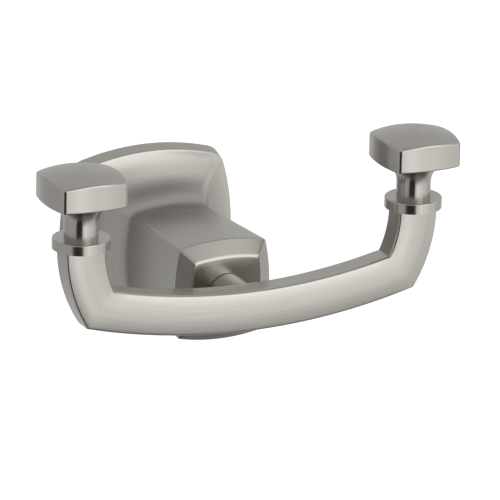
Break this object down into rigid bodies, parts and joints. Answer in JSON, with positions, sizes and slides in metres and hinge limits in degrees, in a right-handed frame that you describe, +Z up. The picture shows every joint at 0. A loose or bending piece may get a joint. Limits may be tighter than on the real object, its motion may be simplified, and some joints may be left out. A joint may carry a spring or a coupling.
{
  "type": "robe hook",
  "caption": "Wall-mounted robe hook: a coved wall plate and flared post carry a sagging U-shaped bar whose arms end in domed square finials on spool necks, in satin nickel.",
  "frame": {"origin": "on the wall, on the axis of the post", "axes": "+X to the right along the bar, +Y into the wall, +Z up; the hook stands out from the wall along -Y"},
  "size_m": [0.1349, 0.0903, 0.0771],
  "materials": {
    "satin_nickel": "brushed satin",
    "bracket_metal": "plain cast",
    "screw_steel": "plain"
  },
  "bodies": {
    "root": {"wall_post": "satin_nickel", "hook_bar": "satin_nickel", "finial_left": "satin_nickel", "finial_right": "satin_nickel", "wall_bracket": "bracket_metal", "set_screw": "screw_steel", "bar_bolt": "screw_steel"}
  },
  "joints": []
}
